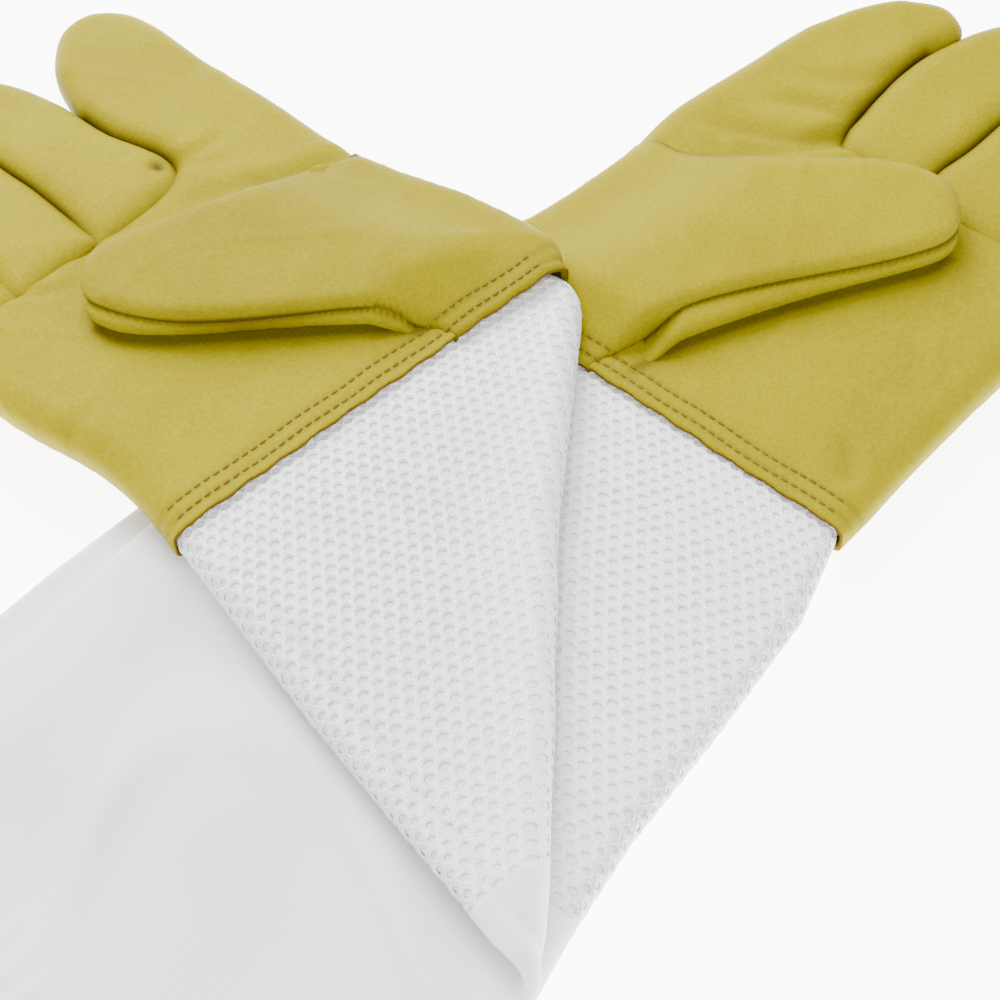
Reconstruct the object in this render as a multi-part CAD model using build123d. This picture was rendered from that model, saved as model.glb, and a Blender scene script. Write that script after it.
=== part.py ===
from build123d import *
import math
import os

os.makedirs("parts", exist_ok=True)

# A pair of beekeeping gloves laid palm up: the left glove lies straight on the floor, and the
# right glove lies across its sleeve with its own sleeve folded under. All sizes in millimetres.

# leather hands: a glove lying flat is two leather panels with walls of leather between them
LEATHER = 1.2            # goatskin
HAND_HEIGHT = 12.0       # flat height of hand and fingers
CUFF_HALF = 67.0         # half the flat width at the leather cuff
BODY_GAP = 0.3           # each side of a finger line, so nothing rubs as a finger bends
THUMB_LIFT = 0.5         # clear space between the palm and the thumb lying on it
THUMB_HEIGHT = 11.5
STITCH_ROWS = (3.5, 7.5) # distance of the two stitch rows from the cuff edge
THREAD = 0.6

# mesh sleeve: net outside, spacer in the middle, lining inside
NET = 0.5
SPACER = 1.0
LINING = 0.5
MESH_HEIGHT = 8.5
TUCK = 10.0              # length of sleeve inside the leather cuff

# cotton gauntlet with an elastic band in its hem
COTTON = 0.8
ELASTIC = 0.8
HEM = 0.4
ELASTIC_WIDTH = 10.0

# how the right glove lies across the left one
RIGHT_CENTRE = (-42.9, -56.4)   # middle of its cuff
RIGHT_TURN = 84.2               # degrees, fingers towards -X
RIGHT_RISE = 14.8               # its cuff rests on the left sleeve, its fingertips on the floor
HAND_LENGTH = 195.0

# fingers: (name, side away from the thumb, side towards the thumb, fingertip)
LEFT_FINGERS = (("index", 17.3, 60.0, 184), ("middle", -14.7, 16.7, 195),
                ("ring", -44.0, -15.3, 186), ("little", -70.0, -44.6, 160))
RIGHT_FINGERS = (("index", 17.3, 57.0, 188), ("middle", -14.7, 16.7, 195),
                 ("ring", -44.0, -15.3, 186), ("little", -70.0, -44.6, 160))
LEFT_FINGER_LINE = 112.0
RIGHT_FINGER_LINE = 105.0

# thumbs lie across the palm, hinged on the line from crotch to notch
LEFT_CROTCH, LEFT_NOTCH = (8, 8), (56, 76)
LEFT_THUMB = ((44, 75), (32, 79), (12, 96), (-2, 106), (-16, 110), (-28, 107), (-33, 96),
              (-31, 84), (-24, 71), (-10, 46), (0, 22))
RIGHT_CROTCH, RIGHT_NOTCH = (24, 8), (56, 68)
RIGHT_THUMB = ((40, 72), (20, 80), (-8, 87), (-22, 88), (-32, 82), (-36, 74), (-30, 59),
               (-15, 42), (0, 30), (12, 18))


class Hand:
    """Builds leather pieces in the glove's own frame: +x to the thumb, +y to the fingertips."""

    def __init__(self, side, fingers, line, crotch, notch, thumb):
        self.side, self.fingers, self.line = side, fingers, line
        self.crotch, self.notch, self.thumb = crotch, notch, thumb
        self.sign = -1 if side == "left" else 1

    def flat(self, points):
        return [(self.sign * x, y) for x, y in points]

    def slab(self, x0, x1, y0, y1, z0=-50, z1=100):
        a, b = sorted((self.sign * x0, self.sign * x1))
        return Pos((a + b) / 2, (y0 + y1) / 2, (z0 + z1) / 2) * Box(b - a, y1 - y0, z1 - z0)

    def place(self, shape):
        if self.side == "left":
            return shape
        tilt = math.degrees(math.atan(RIGHT_RISE / HAND_LENGTH))
        x, y = RIGHT_CENTRE
        return Pos(x, y, RIGHT_RISE) * Rot(0, 0, RIGHT_TURN) * Rot(-tilt, 0, 0) * shape


def rise(points, low, high):
    face = make_face(Polyline(*points, close=True))
    return Pos(0, 0, low) * extrude(face, high - low, dir=(0, 0, 1))


def inset(points, amount):
    """The outline moved inwards by amount, each side staying parallel to itself."""
    count = len(points)
    sides = [(points[i], points[(i + 1) % count]) for i in range(count)]
    turn = 1 if sum(a[0] * b[1] - b[0] * a[1] for a, b in sides) > 0 else -1
    moved = []
    for i in range(count):
        (ax, ay), (bx, by) = sides[i - 1]
        (_, _), (dx, dy) = sides[i]
        first, second = math.hypot(bx - ax, by - ay), math.hypot(dx - bx, dy - by)
        px, py = -turn * (by - ay) / first, turn * (bx - ax) / first
        qx, qy = -turn * (dy - by) / second, turn * (dx - bx) / second
        reach = amount / (1 + px * qx + py * qy)
        moved.append((bx + reach * (px + qx), by + reach * (py + qy)))
    return moved


def shell(points, low, high, outer, inner):
    """The layer of a flat tube between two depths below its outside."""
    out = rise(inset(points, outer), low + outer, high - outer)
    return out - rise(inset(points, inner), low + inner, high - inner)


def palm_outline(hand, extra=0):
    end = hand.line - BODY_GAP + extra
    return hand.flat([(-CUFF_HALF, -extra), (-66, 30), (-70, 60), (-71, 85), (-71, end),
                      (hand.fingers[0][2], end), (60, 78), (63, 58), (68, 43), (71, 26),
                      (71, 12), (CUFF_HALF, -extra)])


def stitch_bands(hand, row):
    """A ring of thread sunk into the leather, right round the cuff."""
    wall = shell(palm_outline(hand, 20), 0, HAND_HEIGHT, 0, 0.4)
    return wall & hand.slab(-90, 90, row - THREAD / 2, row + THREAD / 2)


def hand_pieces(hand):
    """Palm panel, thumb wing, back panel and the two rows of cuff stitching."""
    whole, long = palm_outline(hand), palm_outline(hand, 20)
    end = hand.line - BODY_GAP
    rows = [stitch_bands(hand, row) for row in STITCH_ROWS]
    top = rise(whole, HAND_HEIGHT - LEATHER, HAND_HEIGHT)
    cx, cy = hand.crotch
    nx, ny = hand.notch
    wing_area = hand.flat([(cx, -5), (90, -5), (90, ny + 2), (62, ny + 2), (nx, ny), (cx, cy)])
    wing_cut = rise(wing_area, -1, HAND_HEIGHT + 1)
    wing = top & wing_cut
    palm = top - wing_cut - thumb_mouth(hand)
    walls = shell(long, 0, HAND_HEIGHT, 0, LEATHER) & hand.slab(-90, 90, 0, end, -1,
                                                                HAND_HEIGHT - LEATHER)
    back = walls
    for row in rows:
        palm, wing, back = palm - row, wing - row, back - row
    return {"palm_panel": palm, "thumb_wing": wing, "back_panel": back,
            "cuff_stitch_lower": rows[0], "cuff_stitch_upper": rows[1]}


def along_hinge(hand, forward, inward):
    """A point by its place along the thumb hinge line and its distance towards the thumb tip."""
    (cx, cy), (nx, ny) = hand.crotch, hand.notch
    length = math.hypot(nx - cx, ny - cy)
    ux, uy = (nx - cx) / length, (ny - cy) / length
    return cx + ux * forward - uy * inward, cy + uy * forward + ux * inward


def thumb_mouth(hand):
    """The hole in the palm panel under the thumb, where a thumb passes into it."""
    length = math.dist(hand.crotch, hand.notch)
    corners = [(16, 1), (length - 12, 1), (length - 12, 19), (16, 19)]
    return rise(hand.flat([along_hinge(hand, *c) for c in corners]), 1, HAND_HEIGHT + 1)


def thumb_pieces(hand):
    """Front panel over the top, back panel underneath with the rolled edge round the side."""
    low = HAND_HEIGHT + THUMB_LIFT
    high = low + THUMB_HEIGHT
    length = math.dist(hand.crotch, hand.notch)
    base = [along_hinge(hand, 2, BODY_GAP), along_hinge(hand, length - 2, BODY_GAP)]
    outline = hand.flat([base[0], base[1], *hand.thumb])
    behind = [along_hinge(hand, length + 8, -20), along_hinge(hand, -8, -20)]
    past = hand.flat([*hand.thumb, behind[1], behind[0]])
    front = rise(outline, high - LEATHER, high)
    hollow = rise(inset(past, LEATHER), low + LEATHER, high + 1)
    tube = rise(outline, low, high - LEATHER) - hollow
    mouth = [along_hinge(hand, *c) for c in [(12, -1), (length - 9, -1), (length - 9, 19), (12, 19)]]
    back = tube - rise(hand.flat(mouth), low - 1, low + LEATHER + 0.1)
    return {"thumb_front": front, "thumb_back": back}


def finger_outline(hand, name, inner, outer, tip, base):
    """Straight towards the neighbouring fingers, drawn in towards a blunt tip."""
    lean = 7 if name == "index" else 0
    return hand.flat([(inner, base), (outer, base), (outer - 0.3 * lean, tip - 55),
                      (outer - lean, tip - 24), (outer - lean - 5, tip - 9),
                      (outer - lean - 13, tip), (inner + 11, tip), (inner + 4, tip - 7),
                      (inner, tip - 20)])


def finger_pieces(hand, name, inner, outer, tip):
    """Front and back panels with the fourchette strips that make a finger's side walls."""
    base = hand.line + BODY_GAP
    outline = finger_outline(hand, name, inner, outer, tip, base)
    long = finger_outline(hand, name, inner, outer, tip, base - 20)
    keep = hand.slab(-90, 90, base, 250)
    middle = (inner + outer) / 2
    wall = (rise(long, LEATHER, HAND_HEIGHT - LEATHER)
            - rise(inset(long, LEATHER), 0, HAND_HEIGHT)) & keep
    towards = wall & hand.slab(middle, 90, 0, 250)
    away = wall & hand.slab(-90, middle, 0, 250)
    front = rise(outline, HAND_HEIGHT - LEATHER, HAND_HEIGHT)
    back = rise(outline, 0, LEATHER)
    if name == "index":
        return {"index_front": front, "index_back": back + towards, "index_fourchette": away}
    if name == "little":
        return {"little_front": front, "little_back": back + away, "little_fourchette": towards}
    return {name + "_front": front, name + "_back": back,
            name + "_fourchette_inner": towards, name + "_fourchette_outer": away}


def leather_hand(hand):
    pieces = {**hand_pieces(hand), **thumb_pieces(hand)}
    for name, inner, outer, tip in hand.fingers:
        pieces.update(finger_pieces(hand, name, inner, outer, tip))
    return {f"{hand.side}_{name}": hand.place(piece) for name, piece in pieces.items()}


def band(y0, y1):
    return Pos(0, (y0 + y1) / 2, 20) * Box(400, y1 - y0, 120)


def left_sleeve():
    """Mesh tube tucked into the leather cuff, then the cotton gauntlet, lying straight."""
    low = LEATHER + 0.1
    mesh = [(-65, 40), (65, 40), (65, 0), (72, -25), (77, -64), (79, -100),
            (83, -124), (84, -160), (-75, -160), (-75, -124), (-71, -60), (-65, 0)]
    cotton = [(83.5, -80), (83.5, -124), (89, -148), (89, -225), (66, -270), (66, -320),
              (-60, -320), (-60, -270), (-77, -225), (-75.5, -124), (-75.5, -80)]
    cut = band(-124, TUCK)
    depth = [0, NET, NET + SPACER, NET + SPACER + LINING]
    names = ("mesh_net", "mesh_spacer", "mesh_lining")
    top = low + MESH_HEIGHT
    pieces = {n: shell(mesh, low, top, depth[i], depth[i + 1]) & cut for i, n in enumerate(names)}
    walls = [0, COTTON, COTTON + ELASTIC, COTTON + ELASTIC + HEM]
    high = 9.4
    pieces["gauntlet"] = shell(cotton, 0, high, walls[0], walls[1]) & band(-290, -124.2)
    pieces["elastic"] = shell(cotton, 0, high, walls[1], walls[2]) & band(-286, -286 + ELASTIC_WIDTH)
    pieces["hem"] = shell(cotton, 0, high, walls[2], walls[3]) & band(-290, -271)
    return {"left_" + name: piece for name, piece in pieces.items()}


# the folded right sleeve: an upper run from the cuff, a fold, and a lower run beneath it
UPPER_LOW, UPPER_HIGH = 16.1, 24.6
LOWER_LOW, LOWER_HIGH = 10.2, 13.6
MOUTH_HIGH = 19.2
UPPER_RUN = [(-109.2, -115), (-49.5, -121.1), (27, -141), (71, -152), (69.3, -128), (43, -98),
             (26, -76), (8, -51), (-10, -23.5), (-36.3, 8.3), (-96, 14.4)]
LOWER_RUN = [(-58, -108.6), (-46, -2), (-24, -2), (-10, -23.5), (8, -51), (26, -76), (43, -98),
             (69.3, -128)]
FOLD_STRIP = [(-24, -2), (-10, -23.5), (8, -51), (26, -76), (43, -98), (69.3, -128),
              (62, -127), (38, -101), (19, -77), (1, -51), (-16, -25), (-31, -2)]
TAIL = [(70.2, -129), (82, -140), (92, -151), (88, -157), (71.5, -153)]
PINCHED = [(-58, -109.2), (69.5, -128.6), (82, -140), (92, -151), (88, -157), (72, -172),
           (-62, -172)]
OPEN_END = [(-62, -158), (-62, -225), (-50, -265), (-50, -320), (58, -320), (58, -265),
            (76, -225), (75, -190), (70, -168), (60, -158)]


def cuff_side():
    """Everything on the sleeve side of a line TUCK inside the right cuff."""
    x, y = RIGHT_CENTRE
    big = Pos(0, TUCK - 200, 0) * Box(400, 400, 200)
    return Pos(x, y, RIGHT_RISE) * Rot(0, 0, RIGHT_TURN) * big


def right_sleeve():
    keep = cuff_side()
    depth = [0, NET, NET + SPACER, NET + SPACER + LINING]

    def folded(i):
        t = depth[i]
        run = rise(inset(UPPER_RUN, t), UPPER_LOW + t, UPPER_HIGH - t)
        if i == 3:
            return run
        under = rise(inset(LOWER_RUN, t), LOWER_LOW + t, LOWER_HIGH - t)
        edge = rise(inset(FOLD_STRIP, t), LOWER_LOW + t, UPPER_HIGH - t)
        return run + under + edge

    solid = [folded(i) for i in range(4)]
    names = ("mesh_net", "mesh_spacer", "mesh_lining")
    pieces = {n: (solid[i] - solid[i + 1]) & keep for i, n in enumerate(names)}

    walls = [0, COTTON, COTTON + ELASTIC, COTTON + ELASTIC + HEM]
    hollow = rise(inset(OPEN_END, walls[1]), LOWER_LOW + walls[1], MOUTH_HIGH - walls[1])
    gauntlet = (rise(PINCHED, LOWER_LOW, LOWER_HIGH)
                + rise(TAIL, LOWER_LOW, UPPER_HIGH)
                + rise(OPEN_END, LOWER_LOW, MOUTH_HIGH)) - hollow
    pieces["gauntlet"] = gauntlet & band(-284, 0)
    low, high = LOWER_LOW, MOUTH_HIGH
    pieces["elastic"] = shell(OPEN_END, low, high, walls[1], walls[2]) & band(-280, -280 + ELASTIC_WIDTH)
    pieces["hem"] = shell(OPEN_END, low, high, walls[2], walls[3]) & band(-284, -266)
    return {"right_" + name: piece for name, piece in pieces.items()}


left = Hand("left", LEFT_FINGERS, LEFT_FINGER_LINE, LEFT_CROTCH, LEFT_NOTCH, LEFT_THUMB)
right = Hand("right", RIGHT_FINGERS, RIGHT_FINGER_LINE, RIGHT_CROTCH, RIGHT_NOTCH, RIGHT_THUMB)
parts = {**leather_hand(left), **left_sleeve(), **leather_hand(right), **right_sleeve()}

# the frame's origin is the middle of the underside of everything
box = Compound([s for p in parts.values() for s in p.solids()]).bounding_box()
shift = Pos(-(box.min.X + box.max.X) / 2, -(box.min.Y + box.max.Y) / 2, -box.min.Z)
for name, piece in parts.items():
    export_step(Compound([shift * s for s in piece.solids()]), f"parts/{name}.step")
    print(name, len(piece.solids()), round(piece.volume))
print("shift", shift, "size", box.size)
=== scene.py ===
import math

import bmesh
import bpy
import numpy as np
from mathutils import Matrix, Vector
from mathutils.bvhtree import BVHTree


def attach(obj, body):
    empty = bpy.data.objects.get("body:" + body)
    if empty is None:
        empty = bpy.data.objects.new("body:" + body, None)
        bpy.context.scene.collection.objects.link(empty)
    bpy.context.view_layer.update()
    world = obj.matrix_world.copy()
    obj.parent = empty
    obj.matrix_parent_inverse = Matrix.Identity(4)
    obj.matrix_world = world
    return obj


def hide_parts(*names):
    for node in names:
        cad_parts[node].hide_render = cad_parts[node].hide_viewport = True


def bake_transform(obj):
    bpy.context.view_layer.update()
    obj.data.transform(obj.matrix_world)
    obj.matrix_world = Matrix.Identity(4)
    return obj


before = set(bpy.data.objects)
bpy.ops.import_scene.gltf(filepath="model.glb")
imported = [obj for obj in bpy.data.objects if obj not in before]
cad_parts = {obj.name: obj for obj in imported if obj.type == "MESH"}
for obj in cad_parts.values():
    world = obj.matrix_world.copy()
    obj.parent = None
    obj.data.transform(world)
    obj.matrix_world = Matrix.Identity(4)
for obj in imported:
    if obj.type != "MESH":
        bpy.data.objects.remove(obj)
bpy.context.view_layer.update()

# The leather hands. Each is soft yellow goatskin sewn flat from a palm and a back, so it lies like
# a thin pillow with rounded edges. Palm and index finger are one cut; the middle, ring and little
# fingers are separate cuts sewn on across their roots, which leaves a crease there.
SHIFT = np.array([72.8, 47.5, 0.0])
RIGHT_CUFF = np.array([-42.9, -56.4, 14.8])
RIGHT_TURN = math.radians(84.2)
RIGHT_TILT = math.atan(14.8 / 195.0)
THICK = 12.6


def laid(side, points):
    """Points of a glove's own frame, in millimetres, put where the glove lies, in metres."""
    points = np.array(points, float).reshape(-1, 3)
    x, y, z = points[:, 0].copy(), points[:, 1].copy(), points[:, 2].copy()
    if side == "left":
        out = np.stack([-x, y, z], 1)
    else:
        c, s = math.cos(-RIGHT_TILT), math.sin(-RIGHT_TILT)
        y, z = c * y - s * z, s * y + c * z
        c, s = math.cos(RIGHT_TURN), math.sin(RIGHT_TURN)
        out = np.stack([c * x - s * y, s * x + c * y, z], 1) + RIGHT_CUFF
    return (out + SHIFT) / 1000.0


def soft_line(points, closed=True, step=1.3):
    """A smooth line through the drawn points, evenly stepped."""
    points = np.array(points, float)
    n = len(points)
    out = []
    for i in range(n if closed else n - 1):
        if closed:
            a, b, c, d = points[i - 1], points[i], points[(i + 1) % n], points[(i + 2) % n]
        else:
            a, b, c, d = points[max(i - 1, 0)], points[i], points[i + 1], points[min(i + 2, n - 1)]
        count = max(1, int(np.linalg.norm(c - b) / step))
        for k in range(count):
            t = k / count
            out.append(0.5 * (2 * b + (c - a) * t + (2 * a - 5 * b + 4 * c - d) * t * t
                              + (3 * b - a - 3 * c + d) * t ** 3))
    if not closed:
        out.append(points[-1])
    return np.array(out)


def to_line(points, line, closed=False):
    """Distance of each flat point from a line of points."""
    ends = np.roll(line, -1, 0) if closed else line[1:]
    starts = line if closed else line[:-1]
    best = np.full(len(points), 1e9)
    for a, b in zip(starts, ends):
        ab = b - a
        t = np.clip(((points - a) @ ab) / max(ab @ ab, 1e-9), 0, 1)
        best = np.minimum(best, ((points - a - t[:, None] * ab) ** 2).sum(1))
    return np.sqrt(best)


def crown(distance, reach, least):
    """How full the pillow is at a distance from its edge, from least to 1."""
    t = 1 - np.clip(distance / reach, 0, 1)
    return least + (1 - least) * np.sqrt(1 - t * t)


def ripple(x, y, size, seed):
    """Broad, uneven waves of about the given size, from -1 to 1."""
    rng = np.random.default_rng(seed)
    total = np.zeros_like(x)
    for _ in range(6):
        turn, phase, scale = rng.uniform(0, math.tau), rng.uniform(0, math.tau), rng.uniform(0.7, 1.6)
        total += np.sin((x * math.cos(turn) + y * math.sin(turn)) * math.tau / (size * scale) + phase)
    return total / 6


def slab(name, outline, low, high, voxel):
    """A flat block with the outline of the cut, remeshed into an even skin."""
    bm = bmesh.new()
    face = bm.faces.new([bm.verts.new((x, y, low)) for x, y in outline])
    top = bmesh.ops.extrude_face_region(bm, geom=[face])
    bmesh.ops.translate(bm, vec=(0, 0, high - low),
                        verts=[v for v in top["geom"] if isinstance(v, bmesh.types.BMVert)])
    bmesh.ops.recalc_face_normals(bm, faces=bm.faces)
    mesh = bpy.data.meshes.new(name)
    bm.to_mesh(mesh)
    bm.free()
    piece = bpy.data.objects.new(name, mesh)
    bpy.context.collection.objects.link(piece)
    bpy.ops.object.select_all(action="DESELECT")
    piece.select_set(True)
    bpy.context.view_layer.objects.active = piece
    skin = piece.modifiers.new("skin", "REMESH")
    skin.mode, skin.voxel_size = "VOXEL", voxel
    bpy.ops.object.modifier_apply(modifier=skin.name)
    return piece


def points_of(piece):
    flat = np.empty(len(piece.data.vertices) * 3)
    piece.data.vertices.foreach_get("co", flat)
    return flat.reshape(-1, 3)


def set_points(piece, points):
    piece.data.vertices.foreach_set("co", np.ascontiguousarray(points, float).ravel())
    piece.data.update()


def relax(piece, rounds, factor=0.5):
    smooth = piece.modifiers.new("relax", "SMOOTH")
    smooth.factor, smooth.iterations = factor, rounds
    bpy.context.view_layer.objects.active = piece
    bpy.ops.object.modifier_apply(modifier=smooth.name)


def leather(name, golden):
    """Soft yellow goatskin: fine pebbled grain, cloudy colour, a dull sheen; a stored mark darkens it
    along its seams and paints shade into its folds, grooves, pits and under the thumbs.
    """
    made = bpy.data.materials.new(name)
    made.use_nodes = True
    nodes, links = made.node_tree.nodes, made.node_tree.links
    skin = nodes["Principled BSDF"]
    where = nodes.new("ShaderNodeTexCoord")
    cloud = nodes.new("ShaderNodeTexNoise")
    cloud.inputs["Scale"].default_value = 22
    cloud.inputs["Detail"].default_value = 4
    cloud.inputs["Roughness"].default_value = 0.55
    ramp = nodes.new("ShaderNodeValToRGB")
    ramp.color_ramp.elements[0].position = 0.32
    ramp.color_ramp.elements[0].color = (0.178, 0.145, 0.0001, 1) if golden else (0.204, 0.168, 0.0002, 1)
    ramp.color_ramp.elements[1].position = 0.70
    ramp.color_ramp.elements[1].color = (0.218, 0.181, 0.0002, 1) if golden else (0.243, 0.205, 0.0003, 1)
    fine = nodes.new("ShaderNodeTexNoise")
    fine.inputs["Scale"].default_value = 900
    fine.inputs["Detail"].default_value = 3
    speck = nodes.new("ShaderNodeMixRGB")
    speck.blend_type = "SOFT_LIGHT"
    speck.inputs["Fac"].default_value = 0.34
    # Painted shade: the stored mark mixes the leather towards dark brown, both as the seams' own dark
    # lines and as painted shade in folds, stitching grooves, the crotch pit and under each thumb.
    fold = nodes.new("ShaderNodeAttribute")
    fold.attribute_name = "seam_and_painted_shade"
    dark = nodes.new("ShaderNodeMixRGB")
    # dark brown of the seam lines and of the painted shade
    dark.inputs["Color2"].default_value = (0.046, 0.026, 0.006, 1)
    grain = nodes.new("ShaderNodeTexVoronoi")
    grain.inputs["Scale"].default_value = 1100
    bump = nodes.new("ShaderNodeBump")
    bump.inputs["Strength"].default_value = 0.16
    bump.inputs["Distance"].default_value = 0.0004
    links.new(where.outputs["Object"], cloud.inputs["Vector"])
    links.new(where.outputs["Object"], fine.inputs["Vector"])
    links.new(where.outputs["Object"], grain.inputs["Vector"])
    links.new(cloud.outputs["Fac"], ramp.inputs["Fac"])
    links.new(ramp.outputs["Color"], speck.inputs["Color1"])
    links.new(fine.outputs["Fac"], speck.inputs["Color2"])
    links.new(speck.outputs["Color"], dark.inputs["Color1"])
    links.new(fold.outputs["Fac"], dark.inputs["Fac"])
    links.new(dark.outputs["Color"], skin.inputs["Base Color"])
    links.new(grain.outputs["Distance"], bump.inputs["Height"])
    links.new(bump.outputs["Normal"], skin.inputs["Normal"])
    skin.inputs["Roughness"].default_value = 0.58
    skin.inputs["Specular IOR Level"].default_value = 0.06
    skin.inputs["Specular Tint"].default_value = (1.0, 0.80, 0.15, 1)
    return made


def plain(name, colour, rough, gloss):
    """A material of one even colour."""
    made = bpy.data.materials.new(name)
    made.use_nodes = True
    skin = made.node_tree.nodes["Principled BSDF"]
    skin.inputs["Base Color"].default_value = colour + (1,)
    skin.inputs["Roughness"].default_value = rough
    skin.inputs["Specular IOR Level"].default_value = gloss
    return made


hide = leather("goatskin", False)
golden_hide = leather("goatskin_golden", True)
cut_edge = plain("goatskin_cut_edge", (0.115, 0.068, 0.004), 0.85, 0.1)

# flat cuts of palm with index finger, drawn from the cuff up the little side and back down
PALM_CUT = {
    "right": [(-67, 0), (-65.5, 8), (-64, 25), (-65.5, 41), (-69, 57), (-71, 71), (-72, 86), (-71, 97),
              (-64, 100), (-45, 100.5), (-30, 101), (-19, 101), (-8, 101.5), (4, 103), (12, 105.5),
              (17.5, 110), (18.6, 117), (16.7, 125), (13.7, 136), (13.2, 148), (15.8, 160), (19.5, 171),
              (25.5, 180), (32.5, 186.5), (40, 188.5), (46, 187), (51.5, 181.5), (54.8, 172),
              (55.5, 158), (55.5, 144), (56.5, 128), (57.5, 111), (58, 89), (59, 76), (63, 57),
              (67.5, 43), (70.5, 30), (72.5, 16), (71.5, 7), (67, 0)],
    "left": [(-68, -4.5), (-68.3, 7), (-68, 20), (-68, 34), (-68.5, 50), (-69, 67), (-70, 85), (-70, 103),
             (-64, 109), (-45, 110), (-33, 110), (-20, 111), (-6, 112), (8, 112.5), (14, 113.5),
             (16.7, 118), (18, 127), (19, 137), (19.4, 149), (18.6, 162), (15.5, 172), (15.8, 177),
             (18.5, 181), (25.5, 184), (32.6, 182), (42, 175), (49, 163), (55, 146), (58.3, 124),
             (61.4, 103), (62.5, 88), (61.5, 74), (61.3, 63), (63.5, 40), (67, 22), (68.3, 9), (67, -4.5)],
}
ROOT_SEAM = {
    "right": [(-64, 100), (-45, 100.5), (-30, 101), (-19, 101), (-8, 101.5), (4, 103), (12, 105.5),
              (17.5, 110), (18.6, 117), (16.7, 125), (13.7, 136), (13.2, 148)],
    "left": [(-64, 109), (-45, 110), (-33, 110), (-20, 111), (-6, 112), (8, 112.5), (14, 113.5),
             (16.7, 118), (18, 127), (19, 137), (19.4, 149), (18.6, 162)],
}
FINGER_CUTS = {
    "right": {
        "middle": [(-17.5, 97), (0, 99), (14, 102), (19, 110), (19.5, 117), (17.6, 126), (14.6, 137),
                   (13.6, 148), (12.6, 160), (9.5, 173), (4.5, 183), (-2, 191), (-9, 193.5),
                   (-14.5, 190), (-17.2, 180), (-17.5, 165), (-16.6, 147), (-15.6, 133), (-15.6, 119),
                   (-17, 105)],
        "ring": [(-46, 97), (-30, 97.5), (-15.5, 99), (-14.6, 108), (-14.6, 119), (-14.6, 133),
                 (-15.7, 147), (-16.6, 165), (-18.5, 175), (-24, 183), (-31, 187), (-38, 185),
                 (-43, 177), (-45, 162), (-45, 140), (-45, 118)],
        "little": [(-71, 92), (-58, 95), (-43.5, 97), (-43.5, 118), (-44, 138), (-46, 148),
                   (-51, 157), (-57, 160.5), (-63, 158), (-68, 150), (-70.5, 135), (-71.5, 112)]},
    "left": {
        "middle": [(-15.5, 107), (0, 108), (13, 109), (17.5, 116), (18.8, 127), (19.8, 137), (20.2, 149),
                   (19, 162), (16.5, 172), (13.5, 181), (8, 190), (1, 194.5), (-6, 193), (-12, 186),
                   (-15.3, 175), (-16, 160), (-15.2, 147), (-14.5, 134), (-13, 124), (-13.5, 114)],
        "ring": [(-45, 106), (-30, 106), (-13, 107), (-11.8, 117), (-12, 124), (-13.5, 134), (-14.2, 147),
                 (-15, 160), (-17, 172), (-22, 181), (-29, 186), (-36, 185), (-42, 178), (-45, 164),
                 (-45.5, 145), (-45, 125)],
        "little": [(-70.5, 100), (-58, 105), (-43.5, 106), (-43, 122), (-44, 140), (-46.5, 150),
                   (-51, 158), (-57, 160.5), (-63, 158), (-68, 150), (-70.5, 135), (-71, 115)]},
}
BENDS = {"right": 105.0, "left": 112.0}
CUFF_AT = {"right": 0.0, "left": -4.5}
CREASES = {
    "right": [([(17.5, 112), (26, 108), (34, 109)], 0.9, 2.2),
              ([(18, 108), (27, 101)], 0.7, 2.0),
              ([(59, 76), (40, 80), (24, 88), (10, 93)], 0.8, 3.5),
              ([(-20, 99), (-30, 92), (-36, 84)], 0.8, 2.6),
              ([(-44, 99), (-40, 93), (-34, 90)], 0.6, 2.2),
              ([(-66, 45), (-55, 50)], 0.5, 3.0)],
    "left": [([(16, 114), (24, 105), (36, 98), (50, 93)], 1.1, 3.2),
             ([(14, 112), (24, 99), (34, 90)], 1.0, 3.0),
             ([(19, 120), (30, 119), (42, 112)], 0.9, 3.0), ([(20, 146), (28, 134), (38, 128)], 0.6, 3.6),
             ([(-58, 12), (-50, 20)], 0.6, 4.0), ([(-30, 109), (-38, 100)], 0.6, 3.0)],
}


UNDER_THUMB = {
    "right": [(-37.5, 70), (-35, 62.5), (-29, 54.5), (-21, 46.5), (-9, 36.5), (5, 24.5), (17, 13),
              (22.5, 8)],
    "left": [(-35.5, 92), (-33.5, 84), (-27.5, 73), (-20.5, 61), (-12, 45.5), (-4, 29), (2, 15), (6, 3)],
}
CROTCH_PIT = {"right": (14.5, 112.5), "left": (13.0, 116.0)}


def palm_full(side, flat):
    """How full the palm lies at flat points, from its rim and its root seam."""
    edge = to_line(flat, soft_line(PALM_CUT[side], closed=False))
    root = to_line(flat, soft_line(ROOT_SEAM[side], closed=False))
    near_cuff = np.clip((flat[:, 1] - CUFF_AT[side]) / 40, 0, 1)
    return crown(edge, 7.5, 0.22) * crown(root, 4.0, 0.62) * (0.90 + 0.10 * near_cuff)


def palm_waves(side, flat):
    """The palm's broad and small unevenness, the same wherever something lies on it."""
    broad = 0.5 * ripple(flat[:, 0], flat[:, 1], 46, 3 if side == "left" else 5)
    lines = np.exp(-(3 * ripple(flat[:, 0], flat[:, 1], 62, 17 if side == "left" else 23) / 0.20) ** 2)
    return broad + 0.16 * ripple(flat[:, 0], flat[:, 1], 13, 8) + 0.28 * lines


def folds(side, flat):
    """Each drawn fold's depth at flat points, fading out along it, and the distance from it in widths."""
    for drawn, depth, width in CREASES[side]:
        start, end = np.array(drawn[0], float), np.array(drawn[-1], float)
        gone = np.linalg.norm(flat - start, axis=1) / (1.2 * np.linalg.norm(end - start))
        near = to_line(flat, soft_line(drawn, closed=False))
        yield depth * np.clip(1 - gone ** 2, 0, 1), near / width


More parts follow.
